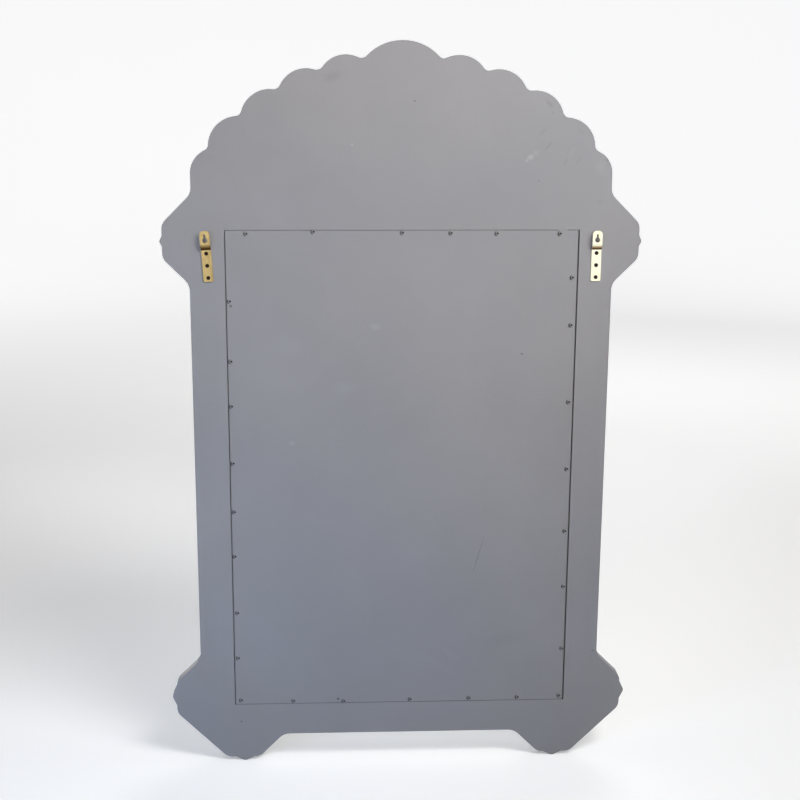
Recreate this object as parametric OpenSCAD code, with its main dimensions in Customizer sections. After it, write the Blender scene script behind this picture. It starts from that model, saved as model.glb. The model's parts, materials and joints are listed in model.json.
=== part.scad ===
/* [Board] */
// Height from the foot tips to the top of the arch
board_h = 958; // [930:1:990]
// Width across the straight sides
body_w = 535; // [515:1:555]
// Thickness of the wooden board
board_t = 15; // [14:0.5:20]
// Thickness of the inlaid face, chips and grey filler alike
inlay_t = 2; // [1.5:0.1:3]
// Height of the bottom rail's lower edge above the foot tips
rail_lift = 38.3; // [30:0.1:45]

/* [Arch] */
// How much narrower each shoulder is than the straight side below the ear
shoulder_step = 4.5; // [2:0.1:8]
// Radius of the four full scallops on each side
lobe_r = 36; // [34:0.1:38]
// Angle of the first side scallop from the vertical
lobe_first = 13.8; // [13:0.1:15]
// Angle between neighbouring side scallops
lobe_pitch = 10.2; // [9.8:0.1:10.4]
// Radius of the last scallop, which runs into the shoulder
end_lobe_r = 30; // [28:0.1:32]
// Angle of the last scallop from the vertical
end_lobe_angle = 53; // [52:0.1:54]
// Radius of the large scallop at the top
top_lobe_r = 61; // [56:0.5:66]
// How far the top scallop's centre lies inside the ring of the others
top_lobe_inset = 16; // [12:0.5:20]
// Radius of the notch between two scallops
cusp_r = 9; // [5:0.5:12]

/* [Ears and feet] */
// Height of the arch's top above the middle of the ears
ear_drop = 245.6; // [240:0.1:252]
// How far an ear stands out from the straight side
ear_reach = 33; // [28:0.5:36]
// Half height of an ear's outer face
ear_half = 21.7; // [18:0.1:26]
// How far a foot stands out from the straight side
foot_reach = 33.5; // [28:0.5:36]
// Height at which the foot's upper flank meets its outer face
foot_top = 115.5; // [108:0.5:120]
// Height at which the chamfer meets the foot's outer face
foot_chamfer = 71.7; // [66:0.1:76]
// Height of the small point on each foot's outer face
foot_nub_z = 95.5; // [90:0.5:98]
// How far the point on a foot stands out
foot_nub = 5.2; // [3:0.1:7]
// How far the point on an ear stands out
ear_nub = 2.9; // [1.5:0.1:5]
// Radius of the inner corners where a flank meets the side
inner_r = 20; // [12:0.5:22]
// Radius of the outer corners of ears and feet
corner_r = 16; // [12:0.5:17]

/* [Sight opening and rebates] */
// Height of the arch's top above the back panel's recess
crown_h = 231.4; // [226:0.1:240]
// Distance from the board's side to the back panel's recess
panel_side = 43.85; // [40:0.05:50]
// Distance from the rail's lower edge to the back panel's recess
panel_foot = 44.2; // [40:0.1:50]
// Width of the ledge that the panel is screwed to
ledge_w = 16.1; // [13:0.1:18]
// Width of the lip in front of the mirror
lip_w = 8; // [6:0.1:10]
// Thickness of the mirror
glass_t = 4; // [3:0.5:5]
// Thickness of the back panel
panel_t = 5; // [4:0.5:6]
// Mean gap between the panel's two sides and its recess
panel_gap_x = 1.6; // [1:0.1:2]
// How far the recess sits from the board's middle towards its right side, seen from behind
recess_slip = 0.8; // [0:0.1:1.2]
// How far the panel sits from the board's middle towards its right side, seen from behind
panel_slip = 0.5; // [0:0.1:1]
// Gap between the panel and its recess at top and bottom
panel_gap_z = 0.6; // [0.4:0.1:1.2]
// Gap round the mirror in its rebate
glass_gap = 1; // [0.5:0.1:2]

/* [Panel screws] */
// Radius of a panel screw's head
screw_head_r = 2.9; // [2.6:0.1:3.1]
// Height of the head above the panel
screw_head_h = 1; // [0.9:0.1:1.2]
// Radius of the head's round recess
recess_r = 1.3; // [1:0.1:1.4]
// Radius of the screw below the head
shank_r = 1.1; // [0.9:0.05:1.2]
// Length of the screw below the head
shank_l = 11; // [9:0.5:12]
// Clearance round a screw in its hole
hole_play = 0.1; // [0.05:0.05:0.2]

/* [Hangers] */
// Distance from the board's straight side to the middle of each hanger
hanger_inset = 21; // [17:0.5:24]
// Height of the keyholes above the middle of the ears
keyhole_lift = 2; // [-2:0.5:4]
// Length of a hanger strap
hanger_l = 64.5; // [63:0.5:68]
// Width of a hanger strap
hanger_w = 12.4; // [11.5:0.1:13.5]
// Radius of the strap's two top corners
strap_corner_r = 4.7; // [3.5:0.1:5.5]
// Radius of the strap's two bottom corners
strap_foot_r = 1.8; // [1:0.1:3]
// Thickness of the hanger's brass sheet
sheet_t = 1.4; // [1.2:0.1:1.6]
// Clear space between the board and the raised end of a hanger
hanger_gap = 4.4; // [4.2:0.1:5]
// Length of the slope that carries the raised end
bend_run = 7; // [4.5:0.1:8]
// Distance from the strap's top to the middle of the keyhole
keyhole_drop = 11.5; // [11:0.1:12.5]
// Radius of the keyhole's round part
keyhole_r = 3.2; // [3:0.1:3.5]
// Width of the keyhole's slot
slot_w = 2.6; // [2.2:0.1:3]
// Height of the slot's end above the keyhole's middle
slot_rise = 7.6; // [7:0.1:8]
// Distance from the strap's bottom to its lowest screw
strap_hole = 5; // [4.5:0.1:6]
// Distance between a hanger's screws
strap_pitch = 15.4; // [14.5:0.1:15.6]
// Radius of a hanger screw's head
strap_head_r = 2.5; // [2.2:0.1:2.8]
// Radius of a hanger screw below the head
strap_shank_r = 1.5; // [1.2:0.1:1.6]
// Length of a hanger screw
strap_screw_l = 12; // [9:0.5:13]
// Tilt of the left hanger, its top outwards
left_tilt = 3.4; // [0:0.1:4]

/* [Inlay] */
// Distance of the outer chip band from the board's edge
band_inset = 3.5; // [3:0.1:4.2]
// Width of the chip bands
band_w = 5; // [4:0.1:5.4]
// Length of a band chip and its joint
band_pitch = 18; // [15:0.5:22]
// Width of the grey joints between band chips
joint_w = 1; // [0.6:0.1:1.4]
// Distance between the flowers along the frame
flower_pitch = 60; // [56:1:66]
// Length of a flower's petal
petal_l = 11; // [9:0.5:12]
// Width of a flower's petal
petal_w = 5; // [4:0.1:5.4]
// Length of a vine leaf
leaf_l = 15; // [13:0.5:16]
// Width of a vine leaf
leaf_w = 5.4; // [4.5:0.1:6]
// Radius of the small round chips
dot_r = 1.9; // [1.4:0.1:2.2]
// Radius of the round chip in the middle of a flower
core_r = 3.6; // [3:0.1:4]
// Grey margin between the mirror's opening and the band round it
band_gap = 3; // [2:0.1:4]
// Grey margin between a band and the leaves beside it
leaf_clear = 3.3; // [2.5:0.1:4]
// Length of the petals of the medallion in the crown
medal_petal_l = 24; // [20:0.5:26]
// Length of the petals of the fan at the top
top_petal_l = 30; // [26:0.5:34]

/* [Hidden] */
$fn = 48;
arc_step = 7.5;
eps = 0.01;
bend_r = 0.8;
normal_span = 2.5;
nub_r = 2.5;
nub_spread = 2.4;
flat_end = 3;
recess_floor = 0.2;
head_taper = 0.4;
cross_l = 2.6;
cross_w = 0.5;
cross_h = 0.8;
over = 1;

// Heights and half widths that follow from the sizes above
body_x = body_w / 2;
shoulder_x = body_x - shoulder_step;
ear_z = board_h - ear_drop;
ear_x = body_x + ear_reach;
foot_x = body_x + foot_reach;
foot_c = foot_x + foot_nub;
wide = foot_c + over;
ring_r = (shoulder_x - end_lobe_r) / sin(end_lobe_angle);
arch_z = board_h - top_lobe_r - ring_r + top_lobe_inset;
panel_x = body_x - panel_side;
panel_z0 = rail_lift + panel_foot;
panel_z1 = board_h - crown_h;
glass_x = panel_x - ledge_w;
glass_z0 = panel_z0 + ledge_w;
glass_z1 = panel_z1 - ledge_w;
sight_x = glass_x - lip_w;
sight_z0 = glass_z0 + lip_w;
sight_z1 = glass_z1 - lip_w;
face_y = -board_t;
hanger_rise = hanger_gap + sheet_t;
hanger_x = body_x - hanger_inset;
keyhole_z = ear_z + keyhole_lift;
strap_bottom = keyhole_drop - hanger_l;
strap_head_h = strap_head_r - strap_shank_r;
bend_lag = sheet_t * tan(atan2(hanger_gap, bend_run) / 2);

// Where the panel screws sit, as driven by hand: shares of a side, and distances in from it
top_shares = [0.053, 0.233, 0.364, 0.502, 0.754, 0.943];
top_insets = [4.5, 4.2, 3.7, 3.2, 1.9, 4.3];
bottom_shares = [0.14, 0.289, 0.47, 0.673, 0.826, 0.985];
bottom_insets = [3.7, 3.4, 3.1, 1.6, 3.2, 5.4];
left_shares = [0.104, 0.205, 0.329, 0.425, 0.528, 0.647, 0.739, 0.86];
left_insets = [3.9, 4.2, 2.4, 3, 2.9, 2.5, 3, 3];
right_shares = [0.008, 0.116, 0.255, 0.377, 0.511, 0.652, 0.81, 0.906];
right_insets = [4.7, 3.2, 3.6, 4.4, 4.6, 5.3, 5.8, 6.1];
// A stray pilot hole near the panel's lower edge, measured from the panel's corner below it
stray_hole = [138, 5.2];
stray_r = 0.7;
stray_depth = 3;

// Sizes of the inlay pattern
petal_count = 8;
flower_r = core_r + joint_w + petal_l;
rosette_gap = 6;
rosette_r = flower_r + rosette_gap + dot_r;
spray_x = 10;
spray_turn = 55;
fan_w = petal_w + 1;
fan_turn = 34;
top_core_r = core_r + 2;
top_petal_w = 8.6;
top_turn = 28;
laurel_lift = 6;
laurel_r = ring_r - lobe_r + laurel_lift;
laurel_end = 56;
pair_gap = 2.2;
pair_turn = 32;
laurel_gap = 4;
medal_core_r = 7;
medal_petal_w = 8;
medal_count = 12;
rope_l = 8.4;
rope_w = 3.6;
rope_gap = 5.5;
rope_r = medal_core_r + 2 * joint_w + medal_petal_l + rope_gap;
ray_gap = 4.5;
ray_l = 20;
row_gap = 4;
stile_low_gap = 12;
stile_high_gap = 20;
rail_end_gap = 36;
small_leaf_l = leaf_l - 2;
bud_leaf_l = leaf_l - 3;
lens_points = 160;
bend_parts = 4;
bend_sag = 0.6;
quarter = 90;
diagonal = 45;
flower_turn = -20;
fan_sides = 2;
top_fan_sides = 3;
side_lobes = 4;
ear_leaves = [-24, 24, 62, 118, 156, 204];
foot_leaves = [52, 74, 96, 174, 196, 218];
band_out = band_gap + band_w;
stile_x = (sight_x + band_out + body_x - band_inset - band_w) / 2;
stile_w = body_x - band_inset - band_w - sight_x - band_out;
stile_z0 = sight_z0 + stile_low_gap;
stile_z1 = sight_z1 - stile_high_gap;
rail_x = sight_x - rail_end_gap;
rail_z = (rail_lift + band_inset + band_w + sight_z0 - band_out) / 2;
rail_w = sight_z0 - band_out - rail_lift - band_inset - band_w;
row_start = leaf_l / 2 + joint_w;
row_z = sight_z1 + band_out + leaf_clear + leaf_w + row_gap;
medal_z = (sight_z1 + arch_z + laurel_r) / 2;
ear_mid = [(sight_x + band_out + ear_x - band_inset - band_w) / 2, ear_z];
chamfer_mid = ([foot_x, foot_chamfer] + across([foot_x, foot_chamfer])) / 2;
foot_mid = ([sight_x, sight_z0] + chamfer_mid - (band_inset + band_w - band_out) * unit([1, -1])) / 2;
// Middles of the loose flowers in the crown, measured from the medallion's middle
loose_flowers = [[112, -2], [168, -34]];
bud_place = [76, 42];

// Plane geometry, all in x and z as seen from the back with the feet at z = 0
function unit(v) = v / norm(v);
function polar(r, a) = [r * sin(a), r * cos(a)];
function angle_of(v) = atan2(v[1], v[0]);
function turn(a, b) = (b - a) - 360 * round((b - a) / 360);
function across(p) = [foot_c - p[1], foot_c - p[0]];

// Points on an arc about c, from p to q, the shorter way round
function arc(c, p, q) =
  let (a = angle_of(p - c), d = turn(a, angle_of(q - c)), n = max(1, ceil(abs(d) / arc_step)))
  [for (i = [0:n]) c + norm(p - c) * [cos(a + d * i / n), sin(a + d * i / n)]];

// A corner at p between a and b, rounded with radius r
function corner(a, p, b, r) =
  let (u = unit(a - p), v = unit(b - p), half = acos(u * v) / 2, t = r / tan(half))
  r <= 0 ? [p] : arc(p + unit(u + v) * r / sin(half), p + u * t, p + v * t);

// A path of corners, each given as [point, radius]; the first and last only lead in and out
function rounded(c) =
  [for (i = [1:len(c) - 2]) each corner(c[i - 1][0], c[i][0], c[i + 1][0], c[i][1])];

// The same for a closed loop of corners
function rounded_loop(c) =
  let (n = len(c))
  [for (i = [0:n - 1]) each corner(c[(i + n - 1) % n][0], c[i][0], c[(i + 1) % n][0], c[i][1])];

// The notch circle that touches circle a and circle b from outside, on b's left as seen from a
function notch(a, ra, b, rb) =
  let (d = norm(b - a), u = (b - a) / d, ga = ra + cusp_r, gb = rb + cusp_r)
  let (x = (d * d + ga * ga - gb * gb) / (2 * d))
  a + u * x + [-u[1], u[0]] * sqrt(ga * ga - x * x);

// Scallops from the shoulder up to the top, as [centre, radius]
lobes = [
  [[0, arch_z] + polar(ring_r, end_lobe_angle), end_lobe_r],
  for (i = [side_lobes - 1:-1:0]) [[0, arch_z] + polar(ring_r, lobe_first + i * lobe_pitch), lobe_r],
  [[0, board_h - top_lobe_r], top_lobe_r]
];
notches = [for (i = [0:side_lobes]) notch(lobes[i + 1][0], lobes[i + 1][1], lobes[i][0], lobes[i][1])];
function toward(i, k) = lobes[i][0] + unit(notches[k] - lobes[i][0]) * lobes[i][1];
arch_path = [
  each arc(lobes[0][0], lobes[0][0] + [end_lobe_r, 0], toward(0, 0)),
  for (i = [0:side_lobes]) each concat(
    arc(notches[i], toward(i, i), toward(i + 1, i)),
    arc(lobes[i + 1][0], toward(i + 1, i), i < side_lobes ? toward(i + 1, i + 1) : [0, board_h])
  )
];

// Corners of a foot's outer half, from the side down to the middle of the chamfer
function foot_side(with_nub) = [
  [[body_x, foot_top + foot_reach], inner_r],
  [[foot_x, foot_top], corner_r],
  if (with_nub) each point_on(foot_x, foot_nub_z, foot_nub),
  [[foot_x, foot_chamfer], corner_r]
];
// A small blunt point that stands out from a vertical edge at x
function point_on(x, z, out) = [
  [[x, z + nub_spread * out], nub_r],
  [[x + out, z + out / 3], nub_r],
  [[x + out, z - out / 3], nub_r],
  [[x, z - nub_spread * out], nub_r]
];
function foot_corners(with_nub) =
  let (half = foot_side(with_nub))
  [for (i = [1:len(half) - 1]) [across(half[i][0]), half[i][1]], each reversed(half)];
function reversed(c) = [for (i = [len(c) - 1:-1:0]) c[i]];
function ear_corners(with_nub) = [
  [[body_x, ear_z - ear_half - ear_reach], inner_r],
  [[ear_x, ear_z - ear_half], corner_r],
  if (with_nub) each reversed(point_on(ear_x, ear_z, ear_nub)),
  [[ear_x, ear_z + ear_half], corner_r],
  [[shoulder_x, ear_z + ear_half + ear_reach + shoulder_step], inner_r]
];
inner_flank = across([body_x, foot_top + foot_reach]);
rail_corner = [inner_flank[0] - (rail_lift - inner_flank[1]), rail_lift];

// One half of the board's edge, from the middle of the rail up to the top
function distinct(p) = [for (i = [0:len(p) - 1]) if (i == 0 || norm(p[i] - p[i - 1]) > eps) p[i]];
function half_edge(with_nub = true) = distinct(concat(
  rounded([
    [[0, rail_lift], 0],
    [rail_corner, inner_r],
    each foot_corners(with_nub),
    each ear_corners(with_nub),
    [lobes[0][0] + [end_lobe_r, 0], 0]
  ]),
  arch_path
));
edge = half_edge();

module board_outline() {
  polygon([each edge, for (p = reversed(edge)) if (p[0] > eps) [-p[0], p[1]]]);
}

// Turns a shape in x and z into a plate whose back lies at y
module plate(y, t) {
  translate([0, y, 0]) rotate([90, 0, 0]) linear_extrude(t) children();
}

module window(x, z0, z1) {
  translate([-x, z0]) square([2 * x, z1 - z0]);
}

// Moves the object so that the origin lies midway between the keyholes, on the wall
module hung() {
  translate([0, -hanger_rise, -keyhole_z]) children();
}

// Places of the panel screws as [x, z], one list for each side
function share_of(s, low, high) = low + s * (high - low);
edge_x = panel_x - panel_gap_x;
edge_left = edge_x - panel_slip;
edge_right = -edge_x - panel_slip;
edge_z0 = panel_z0 + panel_gap_z;
edge_z1 = panel_z1 - panel_gap_z;
function along_x(shares) = [for (s = shares) share_of(s, edge_right, edge_left)];
function along_z(shares) = [for (s = shares) share_of(s, edge_z0, edge_z1)];
function paired(a, b) = [for (i = [0:len(a) - 1]) [a[i], b[i]]];
top_screws = paired(along_x(top_shares), [for (d = top_insets) edge_z1 - d]);
bottom_screws = paired(along_x(bottom_shares), [for (d = bottom_insets) edge_z0 + d]);
left_screws = paired([for (d = left_insets) edge_left - d], along_z(left_shares));
right_screws = paired([for (d = right_insets) edge_right + d], along_z(right_shares));
panel_screws = concat(top_screws, bottom_screws, left_screws, right_screws);

// Puts its child on the wall side of the board at [x, z], with its own z axis towards the wall
module from_back(p) {
  translate([p[0], 0, p[1]]) rotate([-90, 0, 0]) children();
}

module drill(places, r, depth) {
  for (p = places) from_back(p) translate([0, 0, -depth]) cylinder(r = r, h = depth + over);
}

// The hangers' frames: z = 0 at the keyhole's middle
module at_hanger(side, tilt) {
  translate([side * hanger_x, 0, keyhole_z]) rotate([0, side * tilt, 0]) children();
}
strap_places = [for (i = [0:2]) [0, strap_bottom + strap_hole + i * strap_pitch]];

module frame_board() color("#97999d") difference() {
  plate(0, board_t) difference() {
    board_outline();
    window(sight_x, sight_z0, sight_z1);
  }
  plate(over, panel_t + over) translate([-recess_slip, 0]) window(panel_x, panel_z0, panel_z1);
  plate(-panel_t + eps, glass_t + eps) window(glass_x, glass_z0, glass_z1);
  drill(panel_screws, shank_r + hole_play, shank_l + over);
  at_hanger(1, left_tilt) drill(strap_places, strap_shank_r + hole_play, strap_screw_l);
  at_hanger(-1, 0) drill(strap_places, strap_shank_r + hole_play, strap_screw_l);
}

module mirror_plate() color("#dfe6ea")
  plate(-panel_t, glass_t) window(glass_x - glass_gap, glass_z0 + glass_gap, glass_z1 - glass_gap);

module back_panel() color("#95979b") difference() {
  plate(0, panel_t) translate([-panel_slip, 0]) window(edge_x, edge_z0, edge_z1);
  drill(panel_screws, shank_r + hole_play, panel_t + over);
  drill([[edge_left - stray_hole[0], edge_z0 + stray_hole[1]]], stray_r, stray_depth);
}

module panel_screw() {
  difference() {
    union() {
      cylinder(r1 = screw_head_r, r2 = screw_head_r - head_taper, h = screw_head_h);
      translate([0, 0, -shank_l]) cylinder(r = shank_r, h = shank_l + eps);
    }
    translate([0, 0, recess_floor]) cylinder(r = recess_r, h = screw_head_h + over);
  }
}
module panel_screw_row(places) color("#8d8f93") for (p = places) from_back(p) panel_screw();

// A strap bent so that its top end stands off the board, with a keyhole there and three screw holes
module hanger() {
  bend_z = -keyhole_r - flat_end;
  foot_z = bend_z - bend_run;
  profile = [
    [[0, strap_bottom], 0],
    [[sheet_t, strap_bottom], 0],
    [[sheet_t, foot_z], bend_r],
    [[hanger_rise, bend_z], bend_r + sheet_t],
    [[hanger_rise, keyhole_drop], 0],
    [[hanger_gap, keyhole_drop], 0],
    [[hanger_gap, bend_z + bend_lag], bend_r],
    [[0, foot_z + bend_lag], bend_r + sheet_t]
  ];
  difference() {
    translate([-hanger_w / 2, 0, 0]) rotate([90, 0, 90]) linear_extrude(hanger_w)
      polygon(rounded_loop(profile));
    plate(hanger_rise + over, hanger_rise + 2 * over) keyhole();
    plate(hanger_rise + over, hanger_rise + 2 * over) {
      strap_corners(keyhole_drop, strap_corner_r, 1);
      strap_corners(strap_bottom, strap_foot_r, -1);
    }
    for (p = strap_places) from_back(p) strap_hole_cut();
  }
}
module keyhole() {
  top = slot_rise - slot_w / 2;
  circle(r = keyhole_r);
  translate([-slot_w / 2, 0]) square([slot_w, top]);
  translate([0, top]) circle(r = slot_w / 2);
}
// What is cut away to round two corners of the strap: up = 1 at its top end, -1 at its bottom
module strap_corners(z, r, up) both_sides() translate([hanger_w / 2 - r, z - up * r])
  difference() {
    translate([0, up > 0 ? 0 : -r - over]) square(r + over);
    circle(r = r);
  }
// A countersunk hole, its face on the strap's outer side
module strap_hole_cut() {
  wide_r = strap_head_r + hole_play;
  translate([0, 0, -over]) cylinder(r = strap_shank_r + hole_play, h = sheet_t + 2 * over);
  translate([0, 0, sheet_t - strap_head_h])
    cylinder(r1 = wide_r - strap_head_h, r2 = wide_r + over, h = strap_head_h + over);
}
module hanger_left() color("#c8a55a") at_hanger(1, left_tilt) hanger();
module hanger_right() color("#e6d9a8") at_hanger(-1, 0) hanger();

module strap_screw() {
  difference() {
    union() {
      translate([0, 0, sheet_t - strap_head_h])
        cylinder(r1 = strap_shank_r, r2 = strap_head_r, h = strap_head_h);
      translate([0, 0, sheet_t - strap_screw_l])
        cylinder(r = strap_shank_r, h = strap_screw_l - strap_head_h + eps);
    }
    for (a = [0, quarter]) rotate([0, 0, a]) translate([-cross_l / 2, -cross_w / 2, sheet_t - cross_h])
      cube([cross_l, cross_w, over]);
  }
}
module hanger_screws(side, tilt) color("#1c1a18")
  at_hanger(side, tilt) for (p = strap_places) from_back(p) strap_screw();

// Shapes of chips, each with its long axis up
module lens(l, w) {
  r = (l * l + w * w) / (4 * w);
  intersection() {
    translate([r - w / 2, 0]) circle(r = r, $fn = lens_points);
    translate([w / 2 - r, 0]) circle(r = r, $fn = lens_points);
  }
}
// Its child moved to p and turned clockwise by a
module at(p, a = 0) {
  translate(p) rotate(-a) children();
}
// A leaf that starts at distance r from the middle, in direction a
module ray(r, a, l, w) {
  at(polar(r + l / 2, a), a) lens(l, w);
}
module both_sides() {
  children();
  mirror([1, 0]) children();
}
module petals(n, r, l, w) {
  for (i = [0:n - 1]) ray(r, i * 360 / n, l, w);
}
module ring_of_dots(n, r) {
  for (i = [0:n - 1]) at(polar(r, (i + 0.5) * 360 / n)) circle(r = dot_r);
}
module flower() {
  circle(r = core_r);
  petals(petal_count, core_r + joint_w, petal_l, petal_w);
}
module rosette() {
  flower();
  ring_of_dots(petal_count, rosette_r - dot_r);
}
// Petals spread to both sides of the direction up, turn degrees apart
module fan(r, side_count, turn_by, l, w) {
  circle(r = r);
  for (i = [-side_count:side_count]) ray(r + 2 * joint_w, i * turn_by, l, w);
}

// A path with its running lengths, and a point at a length along it or at a depth inside it there
function run(p, i = 0, s = 0) =
  i == len(p) - 1 ? [s] : concat([s], run(p, i + 1, s + norm(p[i + 1] - p[i])));
function track(p) =
  let (s = run(p))
  [for (axis = [0, 1]) [for (i = [0:len(p) - 1]) [s[i], p[i][axis]]]];
function length_of(t) = t[0][len(t[0]) - 1][0];
function spot(t, s) = [lookup(s, t[0]), lookup(s, t[1])];
function inside(t, s, depth) =
  let (d = unit(spot(t, s + normal_span) - spot(t, s - normal_span)))
  spot(t, s) + depth * [-d[1], d[0]];

// Band chips along one half of the board's edge, those whose middle lies between two heights
module half_band(low, high) {
  t = track(smooth_edge);
  n = round(length_of(t) / band_pitch);
  step = (length_of(t) - joint_w / 2) / n;
  for (i = [0:n - 1]) {
    a = i * step + joint_w / 2;
    b = (i + 1) * step - joint_w / 2;
    mid = spot(t, (a + b) / 2);
    sag = norm(mid - (spot(t, a) + spot(t, b)) / 2);
    parts = min(bend_parts, ceil(sag / bend_sag + 0.5));
    stops = [for (k = [0:parts]) a + (b - a) * k / parts];
    if (mid[1] > low && mid[1] < high) polygon([
      for (s = stops) inside(t, s, band_inset),
      for (s = reversed(stops)) inside(t, s, band_inset + band_w)
    ]);
  }
}
smooth_edge = concat([[0, rail_lift]], half_edge(false));
module edge_band(low = 0, high = board_h) both_sides() half_band(low, high);

// A straight row of band chips from 0 to l along x, its lower edge at z = 0
module straight_band(l) {
  n = round(l / band_pitch);
  step = l / n;
  for (i = [0:n - 1]) translate([i * step + joint_w / 2, 0]) square([step - joint_w, band_w]);
}
module sight_rows() both_sides() {
  row_l = sight_x + band_gap - joint_w / 2;
  translate([0, sight_z1 + band_gap]) straight_band(row_l);
  translate([0, sight_z0 - band_out]) straight_band(row_l);
}
module sight_column()
  translate([sight_x + band_out, sight_z0 - band_out]) rotate(90)
    straight_band(sight_z1 - sight_z0 + 2 * band_out);
module sight_band() {
  sight_rows();
  both_sides() sight_column();
}

// The vine in a field of width w: flowers with four leaves, and a spray between neighbours
module vine_flower(w) {
  start = flower_r + joint_w;
  flower();
  for (a = [diagonal:quarter:360]) ray(start, a, (w / 2 - leaf_clear) / sin(diagonal) - start, leaf_w);
}
module vine_spray(w) {
  lens(bud_leaf_l, leaf_w);
  for (side = [-1, 1]) {
    at([side * spray_x, 0], side * spray_turn) lens(small_leaf_l, leaf_w);
    at([side * (w / 2 - leaf_clear - dot_r), 0]) circle(r = dot_r);
  }
}
// Flowers from 0 to l up the z axis, with sprays between them and, if asked, at the ends
module vine(l, w, ends = false) {
  n = round(l / flower_pitch);
  step = l / n;
  for (i = [0:n - 1]) translate([0, (i + 0.5) * step]) vine_flower(w);
  for (i = [ends ? 0 : 1:ends ? n : n - 1]) translate([0, i * step]) vine_spray(w);
}
module stile() translate([stile_x, stile_z0]) vine(stile_z1 - stile_z0, stile_w);
module rail() translate([-rail_x, rail_z]) rotate(-90) vine(2 * rail_x, rail_w, true);

// A rosette in each ear, with leaves towards its corners
module ear() translate(ear_mid) {
  rosette();
  for (a = ear_leaves) ray(rosette_r + joint_w, a, small_leaf_l, leaf_w);
}
// A rosette in each foot, with leaves towards its two points
module foot() translate(foot_mid) {
  rosette();
  for (a = foot_leaves) ray(rosette_r + joint_w, a, leaf_l, leaf_w);
}

// The crown's fans, one in each scallop, their petals' tips inside the edge band
module crown_fan(c, r) {
  out = unit(c - [0, arch_z]);
  petal = r / 2;
  reach = core_r + 2 * joint_w + petal + leaf_clear + band_inset + band_w;
  at(c + out * (r - reach), quarter - angle_of(out)) fan(core_r, fan_sides, fan_turn, petal, fan_w);
}
module crown_fans() {
  both_sides() for (i = [0:side_lobes]) crown_fan(lobes[i][0], lobes[i][1]);
  translate([0, board_h - top_lobe_r]) fan(top_core_r, top_fan_sides, top_turn, top_petal_l, top_petal_w);
}
module leaf_pair() both_sides() {
  at([leaf_w / 2 + pair_gap, 0], pair_turn) lens(leaf_l, leaf_w);
}
module crown_laurel() {
  step = 2 * asin((leaf_l + laurel_gap) / 2 / laurel_r);
  places = [for (a = [step:step:laurel_end]) a];
  both_sides() for (a = places) at([0, arch_z] + polar(laurel_r, a), a - quarter) leaf_pair();
  translate([0, arch_z + laurel_r]) circle(r = core_r);
}
module crown_medallion() translate([0, medal_z]) {
  circle(r = medal_core_r);
  petals(medal_count, medal_core_r + 2 * joint_w, medal_petal_l, medal_petal_w);
  for (i = [0:2 * medal_count - 1]) {
    a = i * 180 / medal_count;
    at(polar(rope_r, a), a + quarter) lens(rope_l, rope_w);
  }
  petals(medal_count, rope_r + ray_gap, ray_l, medal_petal_w);
  ring_of_dots(medal_count, rope_r + ray_l - dot_r);
}
module crown_sprays() both_sides() translate([0, medal_z]) {
  for (p = loose_flowers) at(p, flower_turn) vine_flower(stile_w);
  at(bud_place) flower();
  for (x = [row_start:leaf_l + laurel_gap:sight_x - leaf_l]) at([x, row_z - medal_z], quarter) leaf_pair();
}

// Chips lie on the board and are flush with the grey filler round them
module chips(tone) color(tone) plate(face_y, inlay_t) children();

// The filler is laid in four fields: crown, two stiles and rail; the children are the chips in it
module filler(low, high, left, right) color("#8f9297") plate(face_y, inlay_t) difference() {
  intersection() {
    board_outline();
    translate([left, low]) square([right - left, high - low]);
  }
  window(sight_x, sight_z0, sight_z1);
  children();
}
module filler_crown() filler(sight_z1, board_h + over, -wide, wide) {
  crown_medallion();
  crown_fans();
  crown_laurel();
  crown_sprays();
  sight_rows();
  both_sides() {
    sight_column();
    ear();
  }
  edge_band(sight_z1 - band_pitch, board_h);
}
module filler_stile() filler(sight_z0, sight_z1, sight_x, wide) {
  stile();
  sight_column();
  ear();
  foot();
  half_band(sight_z0 - band_pitch, sight_z1 + band_pitch);
}
module filler_rail() filler(-over, sight_z0, -wide, wide) {
  rail();
  sight_rows();
  both_sides() {
    sight_column();
    foot();
  }
  edge_band(0, sight_z0 + band_pitch);
}

hung() frame_board();
hung() filler_crown();
hung() filler_stile();  // filler_stile_left
hung() mirror([1, 0, 0]) filler_stile();  // filler_stile_right
hung() filler_rail();
hung() mirror_plate();
hung() back_panel();
hung() panel_screw_row(top_screws);  // panel_screws_top
hung() panel_screw_row(bottom_screws);  // panel_screws_bottom
hung() panel_screw_row(left_screws);  // panel_screws_left
hung() panel_screw_row(right_screws);  // panel_screws_right
hung() hanger_left();
hung() hanger_right();
hung() hanger_screws(1, left_tilt);  // hanger_screws_left
hung() hanger_screws(-1, 0);  // hanger_screws_right
hung() chips("#e9e6df") edge_band();  // pearl_edge_band
hung() chips("#e4e3dd") sight_band();  // pearl_sight_band
hung() chips("#ece7dc") crown_medallion();  // pearl_crown_medallion
hung() chips("#e6e8e4") crown_fans();  // pearl_crown_fans
hung() chips("#dfe6e2") crown_laurel();  // pearl_crown_laurel
hung() chips("#e8e3e0") crown_sprays();  // pearl_crown_sprays
hung() chips("#e8e6e0") stile();  // pearl_stile_left
hung() chips("#e8e6e0") mirror([1, 0]) stile();  // pearl_stile_right
hung() chips("#e7e5df") rail();  // pearl_rail
hung() chips("#ebe6dd") ear();  // pearl_ear_left
hung() chips("#ebe6dd") mirror([1, 0]) ear();  // pearl_ear_right
hung() chips("#ebe6dd") foot();  // pearl_foot_left
hung() chips("#ebe6dd") mirror([1, 0]) foot();  // pearl_foot_right
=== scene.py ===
"""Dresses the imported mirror, seen from its back as in the photograph.

It makes the camera, the stage, the lights, every material and one bead of dried paint. Lengths are
in metres unless a comment says otherwise.
"""

import json
import math

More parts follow.
